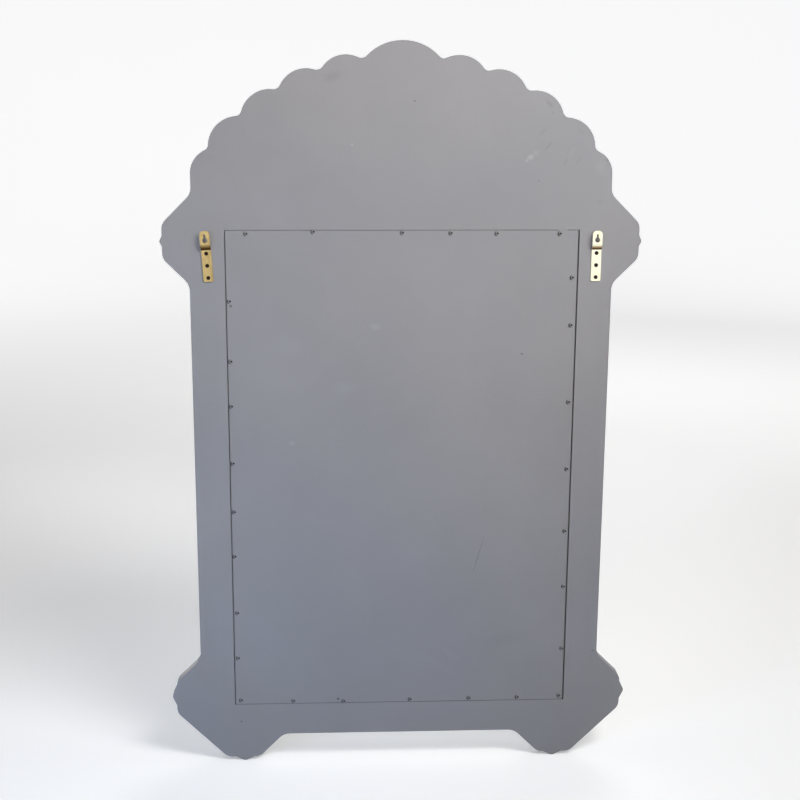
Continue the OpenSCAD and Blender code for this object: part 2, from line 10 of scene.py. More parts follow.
import bmesh
import bpy
from mathutils import Matrix, Vector, noise

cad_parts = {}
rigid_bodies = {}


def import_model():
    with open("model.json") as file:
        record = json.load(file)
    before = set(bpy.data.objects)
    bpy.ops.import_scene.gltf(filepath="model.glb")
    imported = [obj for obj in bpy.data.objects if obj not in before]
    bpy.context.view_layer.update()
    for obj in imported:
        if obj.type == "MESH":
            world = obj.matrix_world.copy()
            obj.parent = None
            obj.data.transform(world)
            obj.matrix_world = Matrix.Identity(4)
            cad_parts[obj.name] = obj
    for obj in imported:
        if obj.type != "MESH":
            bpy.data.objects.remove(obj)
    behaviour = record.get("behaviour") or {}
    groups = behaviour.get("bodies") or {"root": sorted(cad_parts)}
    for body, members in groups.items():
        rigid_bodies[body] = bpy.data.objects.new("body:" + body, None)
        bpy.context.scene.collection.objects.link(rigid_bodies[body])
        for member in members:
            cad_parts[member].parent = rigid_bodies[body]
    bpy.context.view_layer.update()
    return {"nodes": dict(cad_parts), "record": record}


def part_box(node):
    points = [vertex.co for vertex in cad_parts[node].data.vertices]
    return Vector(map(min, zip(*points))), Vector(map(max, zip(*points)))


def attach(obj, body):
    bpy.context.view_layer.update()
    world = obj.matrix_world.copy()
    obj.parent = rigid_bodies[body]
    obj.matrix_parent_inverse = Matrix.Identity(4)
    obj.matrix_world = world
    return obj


for left_over in list(bpy.data.objects):
    bpy.data.objects.remove(left_over)
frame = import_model()
nodes = frame["nodes"]

# Places that follow from the frame: the board's back, the foot tips, the panel's top edge, the flat
# face of the straps, with which their screws' heads lie level, and the face of the panel screws
board_low, board_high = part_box("frame_board")
BACK_Y = board_high.y
FOOT_Z = board_low.z
PANEL_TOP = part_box("back_panel")[1].z
STRAP_FACE_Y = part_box("hanger_screws_left")[1].y
HEAD_FACE_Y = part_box("panel_screws_top")[1].y

# Camera: where it stands, measured from the board's back and the foot tips, and its turns, in
# radians
EYE_X = 0.09117
EYE_BEHIND = 1.81456
EYE_ABOVE_FEET = 0.96133
YAW = -0.04927
PITCH_DOWN = 0.24527
ROLL = 0.00568
SENSOR_MM = 36
LENS_MM = 65.25

# The colours of surfaces are written as sRGB values from 0 to 1
PAINT = (0.583, 0.574, 0.578)
RESIN = (0.50, 0.52, 0.55)


def linear(colour):
    """An sRGB colour as the linear RGBA that shader sockets take."""
    rgb = (c / 12.92 if c <= 0.04045 else ((c + 0.055) / 1.055) ** 2.4 for c in colour)
    return tuple(rgb) + (1.0,)


def grey(tone):
    """A neutral colour of one tone."""
    return (tone, tone, tone)


def shade(colour, factor):
    """A colour made darker or lighter by a factor."""
    return tuple(c * factor for c in colour)


def make_camera():
    data = bpy.data.cameras.new("camera")
    data.sensor_width = SENSOR_MM
    data.lens = LENS_MM
    camera = bpy.data.objects.new("camera", data)
    bpy.context.collection.objects.link(camera)
    level = math.cos(PITCH_DOWN)
    forward = Vector((math.sin(YAW) * level, -math.cos(YAW) * level, -math.sin(PITCH_DOWN)))
    right = forward.cross(Vector((0, 0, 1))).normalized()
    up = right.cross(forward)
    across = right * math.cos(ROLL) + up * math.sin(ROLL)
    over = up * math.cos(ROLL) - right * math.sin(ROLL)
    turn = Matrix((across, over, -forward)).transposed()
    place = Vector((EYE_X, BACK_Y + EYE_BEHIND, FOOT_Z + EYE_ABOVE_FEET))
    camera.matrix_world = Matrix.Translation(place) @ turn.to_4x4()
    bpy.context.scene.camera = camera


# The places of a colour mix node's sockets
MIX_AMOUNT = 0
MIX_A = 6
MIX_B = 7
MIX_RESULT = 2
# The share of a streak's reach at which its mask is full
STREAK_CORE = 0.15


class Shader:
    """A material's nodes, with short calls to make and join them."""

    def __init__(self, name):
        self.material = bpy.data.materials.new(name)
        self.material.use_nodes = True
        self.tree = self.material.node_tree
        self.tree.nodes.clear()
        self.output = self.tree.nodes.new("ShaderNodeOutputMaterial")
        self.surface = self.node("ShaderNodeBsdfPrincipled")
        self.join(self.surface, "BSDF", self.output, "Surface")
        self.place = self.node("ShaderNodeTexCoord").outputs["Object"]

    def node(self, kind, **settings):
        made = self.tree.nodes.new(kind)
        for key, value in settings.items():
            setattr(made, key, value)
        return made

    def join(self, source, out_name, target, in_name):
        self.tree.links.new(source.outputs[out_name], target.inputs[in_name])

    def feed(self, target, in_name, value):
        """Joins a socket to an input, or sets it where the value is a number or a colour."""
        if isinstance(value, bpy.types.NodeSocket):
            self.tree.links.new(value, target.inputs[in_name])
        else:
            target.inputs[in_name].default_value = value

    def noise(self, scale, detail=2.0, rough=0.5, stretch=(1, 1, 1), place=None, distortion=0.0):
        mapping = self.node("ShaderNodeMapping")
        self.feed(mapping, "Vector", place or self.place)
        mapping.inputs["Scale"].default_value = stretch
        made = self.node("ShaderNodeTexNoise")
        self.join(mapping, "Vector", made, "Vector")
        made.inputs["Scale"].default_value = scale
        made.inputs["Detail"].default_value = detail
        made.inputs["Roughness"].default_value = rough
        made.inputs["Distortion"].default_value = distortion
        return made.outputs["Fac"]

    def ramp(self, value, *stops):
        """A colour ramp whose stops are (position, sRGB colour)."""
        made = self.node("ShaderNodeValToRGB")
        band = made.color_ramp
        while len(band.elements) < len(stops):
            band.elements.new(0.5)
        for element, (position, colour) in zip(band.elements, stops):
            element.position = position
            element.color = linear(colour)
        self.feed(made, "Fac", value)
        return made.outputs["Color"]

    def remap(self, value, span, onto=(0, 1), smooth=False):
        """A value moved from one range to another and kept inside that."""
        made = self.node("ShaderNodeMapRange")
        made.interpolation_type = "SMOOTHSTEP" if smooth else "LINEAR"
        self.feed(made, "Value", value)
        made.inputs["From Min"].default_value, made.inputs["From Max"].default_value = span
        made.inputs["To Min"].default_value, made.inputs["To Max"].default_value = onto
        return made.outputs["Result"]

    def math(self, operation, a, b=0.0):
        made = self.node("ShaderNodeMath", operation=operation)
        self.feed(made, 0, a)
        self.feed(made, 1, b)
        return made.outputs["Value"]

    def mix(self, amount, a, b, blend="MIX"):
        made = self.node("ShaderNodeMix", data_type="RGBA", blend_type=blend)
        for index, value in ((MIX_AMOUNT, amount), (MIX_A, a), (MIX_B, b)):
            self.feed(made, index, value)
        return made.outputs[MIX_RESULT]

    def bump(self, height, strength, distance):
        made = self.node("ShaderNodeBump")
        made.inputs["Strength"].default_value = strength
        made.inputs["Distance"].default_value = distance
        self.feed(made, "Height", height)
        self.join(made, "Normal", self.surface, "Normal")

    def ragged(self, scale, reach):
        """The object's coordinates, shaken a little, so that a mark laid by them has torn edges."""
        wobble = self.node("ShaderNodeTexNoise")
        self.feed(wobble, "Vector", self.place)
        wobble.inputs["Scale"].default_value = scale
        shaken = self.node("ShaderNodeVectorMath", operation="MULTIPLY_ADD")
        self.feed(shaken, 0, wobble.outputs["Color"])
        self.feed(shaken, 1, (reach, reach, reach))
        self.feed(shaken, 2, self.place)
        centred = self.node("ShaderNodeVectorMath", operation="SUBTRACT")
        self.feed(centred, 0, shaken.outputs["Vector"])
        self.feed(centred, 1, (reach / 2, reach / 2, reach / 2))
        return centred.outputs["Vector"]

    def streak(self, place, centre, half_length, half_width, turn):
        """A mask that is 1 in the middle of a streak and fades out towards its ends and sides."""
        mapping = self.node("ShaderNodeMapping", vector_type="TEXTURE")
        self.feed(mapping, "Vector", place)
        mapping.inputs["Location"].default_value = centre
        mapping.inputs["Rotation"].default_value = (0, math.radians(turn), 0)
        mapping.inputs["Scale"].default_value = (half_length, 1, half_width)
        away = self.node("ShaderNodeVectorMath", operation="LENGTH")
        self.join(mapping, "Vector", away, 0)
        return self.remap(away.outputs["Value"], (1.0, STREAK_CORE), smooth=True)


# Marks in the paint, in mm: x, height above the foot tips, half length, half width, turn in degrees
# as seen from behind, then the mark's grey tone and how much of it shows
BOARD_MARKS = (
    (-159.6, 817.2, 5.3, 5.2, 60, 0.80, 0.26),
    (-155.0, 813.1, 4.8, 3.0, 60, 0.80, 0.20),
    (-166.0, 822.3, 7.3, 5.4, 30, 0.70, 0.22),
    (-173.9, 829.7, 14.5, 10.8, 60, 0.54, 0.25),
    (-181.6, 831.2, 9.8, 2.4, 54, 0.42, 0.34),
    (-174.3, 848.4, 10.4, 3.1, 45, 0.46, 0.24),
    (-203.7, 811.6, 9.2, 2.4, 65, 0.44, 0.24),
    (-220.5, 812.8, 8.5, 2.4, 48, 0.44, 0.20),
    (-211.0, 823.6, 12.3, 3.6, 62, 0.64, 0.18),
    (-170.4, 788.0, 1.7, 1.5, 0, 0.28, 0.60),
    (-248.6, 805.6, 16.0, 9.6, 88, 0.66, 0.20),
    (-181.3, 882.5, 9.5, 3.8, -48, 0.42, 0.36),
    (-186.1, 871.3, 4.7, 2.3, -60, 0.42, 0.25),
    (-222.3, 848.6, 8.5, 2.6, -52, 0.44, 0.22),
    (-256.6, 813.8, 3.1, 1.6, -60, 0.28, 0.60),
    (-248.6, 761.9, 6.4, 5.1, 0, 0.50, 0.30),
    (85.8, 914.2, 15.9, 9.1, 20, 0.50, 0.45),
    (-14.4, 885.2, 1.8, 1.7, 0, 0.26, 0.65),
    (62.3, 831.9, 2.6, 2.0, 0, 0.68, 0.55),
    (-262.2, 153.8, 2.0, 1.8, 0, 0.22, 0.80),
    (215.0, 57.3, 2.1, 1.8, 0, 0.24, 0.80),
)
PANEL_MARKS = (
    (33.9, 602.6, 10.2, 7.0, 0, 0.68, 0.30),
    (-155.0, 566.8, 1.8, 1.6, 0, 0.24, 0.85),
    (143.1, 580.0, 30.5, 22.9, 0, 0.63, 0.18),
    (73.5, 523.0, 21.9, 11.6, 0, 0.64, 0.20),
    (-103.6, 292.6, 38.1, 0.9, 74.5, 0.34, 0.60),
    (-50.5, 137.4, 40.8, 9.5, -32, 0.60, 0.24),
    (-70.7, 150.3, 23.7, 6.0, -38, 0.66, 0.12),
    (-135.5, 171.1, 40.8, 16.3, 15, 0.48, 0.18),
    (141.6, 450.0, 6.5, 5.2, 0, 0.68, 0.30),
    (216.8, 630.3, 2.8, 2.5, 0, 0.18, 0.85),
    (83.6, 88.3, 2.2, 2.0, 0, 0.10, 0.95),
)
MM = 0.001
# Paint: its clouds and tints, its pale flecks, the torn edges of its marks and how much of a mark
# is left in worn places, its roughness, and how high the roller's nap stands against the fine grain
CLOUD_DARK = 0.972
CLOUD_LIGHT = 1.022
COOL_TINT = (0.985, 0.99, 1.0)
WARM_TINT = (1.0, 0.995, 0.985)
FLECK_TONE = (0.70, 0.70, 0.71)
FLECK_SPAN = (0.70, 0.78)
FLECK_SHARE = 0.12
TEAR_SCALE = 260
TEAR_REACH = 0.0022
WEAR_SPAN = (0.3, 0.6)
WEAR_SHARE = (0.55, 1.0)
PAINT_ROUGHNESS = (0.42, 0.56)
NAP_SHARE = 1.4
# Painted shade on the narrow sides: how far a face looks along y where that shade is full and where
# it ends, and the shaded tone against the back's
SIDE_SHADE_FACING = (0.35, 0.6)
SIDE_SHADE_TONE = 0.72
# The panel's paint against the board's
PANEL_TONE = 0.995


def paint(name, marks, tone=1.0):
    """Grey satin paint laid by roller: faint clouds, a fine skin, small marks and scuffs, and
    painted shade on the narrow sides.
    """
    s = Shader(name)
    base = shade(PAINT, tone)
    cloud = s.noise(scale=5.0, detail=4, rough=0.55)
    warm = s.noise(scale=2.2, detail=2)
    colour = s.ramp(cloud, (0.3, shade(base, CLOUD_DARK)), (0.7, shade(base, CLOUD_LIGHT)))
    tint = s.ramp(warm, (0.35, COOL_TINT), (0.65, WARM_TINT))
    colour = s.mix(1.0, colour, tint, "MULTIPLY")
    fleck = s.remap(s.noise(scale=420, detail=1), FLECK_SPAN, (0, FLECK_SHARE), smooth=True)
    colour = s.mix(fleck, colour, linear(FLECK_TONE))
    torn = s.ragged(TEAR_SCALE, TEAR_REACH)
    worn = s.remap(s.noise(scale=520, detail=2), WEAR_SPAN, WEAR_SHARE)
    for x, height, half_length, half_width, turn, mark_tone, amount in marks:
        centre = (x * MM, BACK_Y, FOOT_Z + height * MM)
        mask = s.streak(torn, centre, half_length * MM, half_width * MM, turn)
        mask = s.math("MULTIPLY", mask, s.math("MULTIPLY", worn, amount))
        colour = s.mix(mask, colour, linear(grey(mark_tone)))
    # Painted shade: faces that look sideways, the narrow sides, are darkened towards the shaded
    # tone
    facing = s.node("ShaderNodeSeparateXYZ")
    s.feed(facing, "Vector", s.node("ShaderNodeNewGeometry").outputs["True Normal"])
    side_shade = s.remap(s.math("ABSOLUTE", facing.outputs["Y"]), SIDE_SHADE_FACING, (1, 0))
    colour = s.mix(side_shade, colour, s.mix(1.0, colour, linear(grey(SIDE_SHADE_TONE)), "MULTIPLY"))
    s.feed(s.surface, "Base Color", colour)
    sheen = s.noise(scale=34, detail=4)
    s.feed(s.surface, "Roughness", s.remap(sheen, (0.25, 0.75), PAINT_ROUGHNESS))
    s.surface.inputs["Specular IOR Level"].default_value = 0.4
    grain = s.noise(scale=620, detail=2)
    nap = s.noise(scale=90, detail=2)
    skin = s.math("ADD", grain, s.math("MULTIPLY", nap, NAP_SHARE))
    s.bump(skin, strength=0.16, distance=0.0006)
    return s.material


# Resin: its clouds, its dark specks of pigment, and its roughness
RESIN_DARK = 0.94
RESIN_LIGHT = 1.05
SPECK_TONE = (0.36, 0.37, 0.40)
SPECK_SPAN = (0.66, 0.74)
SPECK_SHARE = 0.35
RESIN_ROUGHNESS = (0.22, 0.36)


def resin():
    """Grey resin filler, ground flat and polished, with pigment specks and hairline scratches."""
    s = Shader("resin")
    cloud = s.noise(scale=18, detail=4)
    colour = s.ramp(cloud, (0.3, shade(RESIN, RESIN_DARK)), (0.7, shade(RESIN, RESIN_LIGHT)))
    speck = s.remap(s.noise(scale=900, detail=1), SPECK_SPAN, (0, SPECK_SHARE), smooth=True)
    colour = s.mix(speck, colour, linear(SPECK_TONE))
    s.feed(s.surface, "Base Color", colour)
    sheen = s.noise(scale=60, detail=5)
    s.feed(s.surface, "Roughness", s.remap(sheen, (0.3, 0.7), RESIN_ROUGHNESS))
    s.surface.inputs["Coat Weight"].default_value = 0.25
    s.surface.inputs["Coat Roughness"].default_value = 0.12
    hairline = s.noise(scale=260, detail=2, stretch=(1, 1, 0.06))
    s.bump(hairline, strength=0.05, distance=0.0004)
    return s.material


# Mother of pearl: the chips' own tints and the play of colour over them, both as ramp stops, how
# much of that play shows, how far the growth lines turn from chip to chip at most, in radians,
# their tone and how much of it shows, the thin film that gives the chips their shine, and their
# roughness
CHIP_TINTS = (
    (0.0, (0.93, 0.92, 0.88)),
    (0.22, (0.97, 0.965, 0.94)),
    (0.45, (0.90, 0.925, 0.90)),
    (0.62, (0.95, 0.91, 0.90)),
    (0.8, (0.88, 0.90, 0.93)),
    (1.0, (0.96, 0.94, 0.90)),
)
COLOUR_PLAY = (
    (0.3, (0.80, 0.93, 0.88)),
    (0.42, (0.99, 0.99, 0.97)),
    (0.52, (0.98, 0.90, 0.92)),
    (0.62, (0.99, 0.98, 0.95)),
    (0.74, (0.84, 0.89, 0.97)),
)
PLAY_SHARE = 0.55
CHIP_SPIN = 37.0
GROWTH_TONE = (0.74, 0.76, 0.74)
GROWTH_SHARE = 0.16
FILM_NANOMETRES = 420
FILM_IOR = 1.5
PEARL_ROUGHNESS = (0.16, 0.30)


def pearl():
    """Mother of pearl: each chip has its own tint and growth lines, and a faint play of colour."""
    s = Shader("pearl")
    chip = s.node("ShaderNodeNewGeometry").outputs["Random Per Island"]
    spin = s.node("ShaderNodeVectorRotate", rotation_type="AXIS_ANGLE")
    s.feed(spin, "Vector", s.place)
    spin.inputs["Axis"].default_value = (0, 1, 0)
    s.feed(spin, "Angle", s.math("MULTIPLY", chip, CHIP_SPIN))
    turned = spin.outputs["Vector"]
    tint = s.ramp(chip, *CHIP_TINTS)
    play = s.ramp(s.noise(scale=70, detail=3, place=turned, distortion=1.4), *COLOUR_PLAY)
    colour = s.mix(PLAY_SHARE, tint, play, "MULTIPLY")
    growth = s.node("ShaderNodeTexWave", wave_type="BANDS", bands_direction="Z")
    s.feed(growth, "Vector", turned)
    growth.inputs["Scale"].default_value = 75
    growth.inputs["Distortion"].default_value = 7
    growth.inputs["Detail"].default_value = 3
    growth.inputs["Detail Scale"].default_value = 1.6
    lines = growth.outputs["Fac"]
    colour = s.mix(s.remap(lines, (0, 1), (0, GROWTH_SHARE)), colour, linear(GROWTH_TONE))
    s.feed(s.surface, "Base Color", colour)
    sheen = s.noise(scale=120, detail=3)
    s.feed(s.surface, "Roughness", s.remap(sheen, (0.3, 0.7), PEARL_ROUGHNESS))
    s.surface.inputs["Coat Weight"].default_value = 0.6
    s.surface.inputs["Coat Roughness"].default_value = 0.08
    s.surface.inputs["Thin Film Thickness"].default_value = FILM_NANOMETRES
    s.surface.inputs["Thin Film IOR"].default_value = FILM_IOR
    s.bump(lines, strength=0.06, distance=0.0003)
    return s.material


# Mirror: its two tones and its roughness, from where the dust is thin to where it is thick
MIRROR_TONES = ((0.955, 0.965, 0.965), (0.975, 0.98, 0.98))
MIRROR_ROUGHNESS = (0.012, 0.045)


def mirror():
    """Silvered glass with a trace of dust in its reflection."""
    s = Shader("mirror")
    dust = s.noise(scale=30, detail=6, rough=0.7)
    tone = s.ramp(dust, (0.3, MIRROR_TONES[0]), (0.7, MIRROR_TONES[1]))
    s.feed(s.surface, "Base Color", tone)
    s.surface.inputs["Metallic"].default_value = 1.0
    s.feed(s.surface, "Roughness", s.remap(dust, (0.45, 0.75), MIRROR_ROUGHNESS))
    return s.material


# Brass: each hanger's light and deep tone and its roughness, and how far brushing changes that. A
# painted shade in the bend sets in between two places along y just over the strap's flat face. Its
# tones run from the raised end down to the foot of the bend, as ramp stops.
# The left hanger: brass written a little darker than plain brass, a painted shade
GOLD = ((0.70, 0.615, 0.42), (0.61, 0.525, 0.35), 0.38)
# The right hanger: paler brass, written nearly white as a painted highlight
HIGHLIT_PALE_GOLD = ((1.0, 0.995, 0.90), (0.99, 0.965, 0.83), 0.34)
BRUSH_SMOOTHS = 0.05
BRUSH_ROUGHENS = 0.08
BEND_SHADE_ONSET = (STRAP_FACE_Y + 0.0001, STRAP_FACE_Y + 0.0006)
BEND_SHADE_RUN = (-0.0005, STRAP_FACE_Y + 0.0003)
BEND_SHADE = (
    (0.0, (1.0, 1.0, 1.0)),
    (0.25, (0.80, 0.73, 0.65)),
    (0.6, (0.45, 0.36, 0.29)),
    (1.0, (0.20, 0.13, 0.09)),
)


def brass(name, light, deep, roughness):
    """Polished sheet brass, brushed along the strap, with painted shade that darkens its bend to
    brown.
    """
    s = Shader(name)
    cloud = s.noise(scale=160, detail=4, stretch=(1, 1, 0.5))
    colour = s.ramp(cloud, (0.3, deep), (0.62, light))
    position = s.node("ShaderNodeSeparateXYZ")
    s.feed(position, "Vector", s.place)
    depth = position.outputs["Y"]
    # Painted shade: the bend darkens from the raised end down to its foot, over the strap's flat
    # face
    over_flat = s.remap(depth, BEND_SHADE_ONSET, smooth=True)
    bend_shade = s.ramp(s.remap(depth, BEND_SHADE_RUN), *BEND_SHADE)
    colour = s.mix(over_flat, colour, s.mix(1.0, colour, bend_shade, "MULTIPLY"))
    s.feed(s.surface, "Base Color", colour)
    s.surface.inputs["Metallic"].default_value = 1.0
    brushed = s.noise(scale=1500, detail=2, stretch=(1, 1, 0.04))
    spread = (roughness - BRUSH_SMOOTHS, roughness + BRUSH_ROUGHENS)
    s.feed(s.surface, "Roughness", s.remap(brushed, (0.2, 0.8), spread))
    s.bump(brushed, strength=0.08, distance=0.0002)
    return s.material


# Hanger screws: their blackened tone, the tone where that is worn, and their roughness
BLACKENED = (0.11, 0.06, 0.04)
WORN = (0.20, 0.13, 0.09)
BLACK_ROUGHNESS = (0.45, 0.7)


def black_screw():
    """Blackened steel screw heads, worn a little here and there."""
    s = Shader("hanger_screw")
    wear = s.noise(scale=700, detail=4)
    s.feed(s.surface, "Base Color", s.ramp(wear, (0.45, BLACKENED), (0.75, WORN)))
    s.surface.inputs["Metallic"].default_value = 0.3
    s.surface.inputs["Specular IOR Level"].default_value = 0.2
    s.feed(s.surface, "Roughness", s.remap(wear, (0.3, 0.7), BLACK_ROUGHNESS))
    s.bump(wear, strength=0.1, distance=0.0002)
    return s.material


# Panel screws: how far a head's points lie from each other at most, how far the middle of the
# painted shade is moved off a head's middle in x and z, and the distances from there over which the
# painted shadow at the rim sets in and the painted shade in the pit ends
HEAD_REACH = 0.008
SHADE_SHIFT = (-0.0012, 0.0004)
RIM_SHADOW_FADE = (0.0024, 0.0029)
PIT_SHADE_FADE = (0.0012, 0.0016)
# The recess in a head, whose bottom gets painted shade: where along y it starts and is fully there,
# and how squarely its bottom looks out
SUNK_FROM = (HEAD_FACE_Y - 0.0002, HEAD_FACE_Y - 0.0006)
SUNK_FACING = (0.8, 0.95)
# The paint's grain on the heads, the tones of the painted shadow at the rim, of the painted shade
# in the recess and how much of it shows, and of the painted shade in the pit, and the roughness
GRAIN_DARK = 0.93
GRAIN_LIGHT = 1.04
RIM_SHADOW_TONE = (0.13, 0.125, 0.13)
SUNK_SHADE_TONE = (0.10, 0.095, 0.095)
SUNK_SHADE_SHARE = 0.4
PIT_SHADE_TONE = (0.08, 0.075, 0.075)
HEAD_ROUGHNESS = (0.32, 0.48)


def head_middles():
    """The middle of each panel screw, found from the solids' own points, as (x, z)."""
    heads = []
    for name, piece in nodes.items():
        if not name.startswith("panel_screws"):
            continue
        for point in (piece.matrix_world @ v.co for v in piece.data.vertices):
            for head in heads:
                if math.hypot(point.x - head[0].x, point.z - head[0].z) < HEAD_REACH:
                    head.append(point)
                    break
            else:
                heads.append([point])
    return [((min(p.x for p in head) + max(p.x for p in head)) / 2,
             (min(p.z for p in head) + max(p.z for p in head)) / 2) for head in heads]


def painted_screw():
    """A panel screw under the panel's paint, with a painted shadow along its rim and painted shade
    in its pit, both placed the same way on every head.
    """
    s = Shader("panel_screw")
    position = s.node("ShaderNodeSeparateXYZ")
    s.feed(position, "Vector", s.place)
    sunk_shade = s.remap(position.outputs["Y"], SUNK_FROM, smooth=True)
    facing = s.node("ShaderNodeSeparateXYZ")
    s.feed(facing, "Vector", s.node("ShaderNodeNewGeometry").outputs["True Normal"])
    sunk_shade = s.math("MULTIPLY", sunk_shade, s.remap(facing.outputs["Y"], SUNK_FACING))
    grain = s.noise(scale=900, detail=2)
    colour = s.ramp(grain, (0.3, shade(PAINT, GRAIN_DARK)), (0.7, shade(PAINT, GRAIN_LIGHT)))
    flat = s.node("ShaderNodeVectorMath", operation="MULTIPLY")
    s.feed(flat, 0, s.place)
    flat.inputs[1].default_value = (1, 0, 1)
    from_middle = HEAD_REACH
    for x, z in head_middles():
        away = s.node("ShaderNodeVectorMath", operation="DISTANCE")
        s.feed(away, 0, flat.outputs["Vector"])
        away.inputs[1].default_value = (x + SHADE_SHIFT[0], 0, z + SHADE_SHIFT[1])
        from_middle = s.math("MINIMUM", away.outputs["Value"], from_middle)
    # Painted shadow: a dark crescent along each head's rim, away from the shifted middle
    rim_shadow = s.remap(from_middle, RIM_SHADOW_FADE, smooth=True)
    colour = s.mix(rim_shadow, colour, linear(RIM_SHADOW_TONE))
    # Painted shade in the bottom of each head's recess
    colour = s.mix(s.math("MULTIPLY", sunk_shade, SUNK_SHADE_SHARE), colour, linear(SUNK_SHADE_TONE))
    # Painted shade: a dark pit round the shifted middle
    pit_shade = s.remap(from_middle, PIT_SHADE_FADE, (1, 0), smooth=True)
    colour = s.mix(pit_shade, colour, linear(PIT_SHADE_TONE))
    s.feed(s.surface, "Base Color", colour)
    s.feed(s.surface, "Roughness", s.remap(grain, (0.3, 0.7), HEAD_ROUGHNESS))
    s.bump(grain, strength=0.15, distance=0.0003)
    return s.material


MATERIALS = {
    "painted_board": paint("painted_board", BOARD_MARKS),
    "painted_panel": paint("painted_panel", PANEL_MARKS, PANEL_TONE),
    "resin": resin(),
    "pearl": pearl(),
    "mirror": mirror(),
    "hanger_gold": brass("hanger_gold", *GOLD),
    "hanger_pale": brass("hanger_pale", *HIGHLIT_PALE_GOLD),
    "hanger_screw": black_screw(),
    "panel_screw": painted_screw(),
}


def dress_nodes():
    """Gives every node the material of its slot."""
    slots = {part["node"]: part["material_slot"] for part in frame["record"]["subparts"]}
    for name, piece in nodes.items():
        for slot in piece.material_slots:
            slot.material = MATERIALS[slots[name]]


# Rounded edges: how wide the rounding is on each node that has it, from which angle between faces
# on, in degrees, and with how many segments, after points this close to each other are welded
EDGE_WIDTHS = {
    "frame_board": 0.0007,
    "back_panel": 0.0003,
    "hanger_left": 0.00025,
    "hanger_right": 0.00025,
}
EDGE_ANGLE = 40
EDGE_SEGMENTS = 2
WELD_REACH = 0.00001


def soften(name, width):
    """Rounds a node's sharp edges a little, as paint and polish do."""
    piece = nodes[name]
    weld = piece.modifiers.new("weld", "WELD")
    weld.merge_threshold = WELD_REACH
    bevel = piece.modifiers.new("bevel", "BEVEL")
    bevel.width = width
    bevel.segments = EDGE_SEGMENTS
    bevel.limit_method = "ANGLE"
    bevel.angle_limit = math.radians(EDGE_ANGLE)
    bevel.use_clamp_overlap = True
    bevel.harden_normals = True


# Paint that ran into the seam over the panel: where it starts and ends along x, how wide it is, how
# deep its middle, edges and root lie under the board's back, and in how many steps it is made
BRIDGE_X = (-0.209, -0.198)
BRIDGE_WIDTH = 0.0006
BRIDGE_DEPTH = 0.0004
BRIDGE_EDGE = 0.0001
BRIDGE_ROOT = 0.0030
BRIDGE_STEPS = 28
# How steeply the bead rises from its two ends, how many times BRIDGE_DEPTH it lies deep at an end
# and how many times less in between, and how high and how close together its small waves are
BRIDGE_RISE = 6
BRIDGE_END_DEPTH = 1.2
BRIDGE_END_LOSS = 0.9
BRIDGE_WAVE = 0.0002
BRIDGE_WAVE_SCALE = 300


def paint_bridge():
    """A bead of paint that closes part of the seam between the panel's top edge and the board."""
    mesh = bmesh.new()
    seam_low = PANEL_TOP
    seam_high = seam_low + BRIDGE_WIDTH
    rows = []
    for i in range(BRIDGE_STEPS + 1):
        share = i / BRIDGE_STEPS
        x = BRIDGE_X[0] + share * (BRIDGE_X[1] - BRIDGE_X[0])
        risen = min(1.0, BRIDGE_RISE * min(share, 1 - share))
        wave = BRIDGE_WAVE * noise.noise(Vector((x * BRIDGE_WAVE_SCALE, 0, 0)))
        sag = BRIDGE_DEPTH * (BRIDGE_END_DEPTH - BRIDGE_END_LOSS * risen) + wave
        section = ((BRIDGE_ROOT, seam_low), (BRIDGE_EDGE, seam_low),
                   (sag, (seam_low + seam_high) / 2),
                   (BRIDGE_EDGE, seam_high), (BRIDGE_ROOT, seam_high))
        rows.append([mesh.verts.new((x, BACK_Y - depth, z)) for depth, z in section])
    for row, after in zip(rows, rows[1:]):
        for k in range(len(row)):
            j = (k + 1) % len(row)
            mesh.faces.new((row[k], row[j], after[j], after[k]))
    mesh.faces.new(rows[0])
    mesh.faces.new(reversed(rows[-1]))
    bmesh.ops.recalc_face_normals(mesh, faces=mesh.faces)
    data = bpy.data.meshes.new("seam_paint")
    mesh.to_mesh(data)
    mesh.free()
    piece = bpy.data.objects.new("seam_paint", data)
    bpy.context.collection.objects.link(piece)
    data.materials.append(MATERIALS["painted_panel"])
    for face in data.polygons:
        face.use_smooth = True
    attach(piece, "root")


# Stage: a pale floor that sweeps up into a backdrop, far past the mirror's front. Half its width,
# where it and the sweep start along y, the sweep's radius and steps, and how high the backdrop ends
STAGE_HALF = 7.0
STAGE_NEAR = 7.0
STAGE_FAR = -3.2
SWEEP = 1.6
SWEEP_STEPS = 16
STAGE_TOP = 6.0
# Its tone for the camera and in reflections, how dark its clouds are against that, and the tone by
# which it sends light back
STAGE_TONE = (0.914, 0.914, 0.914)
STAGE_CLOUD = 0.992
STAGE_BOUNCE = (0.19, 0.21, 0.255)
# Between which distances from the origin the stage brightens for the camera, and its glow there
LIFT_SPAN = (1.4, 4.2)
LIFT = (0.28, 0.82)


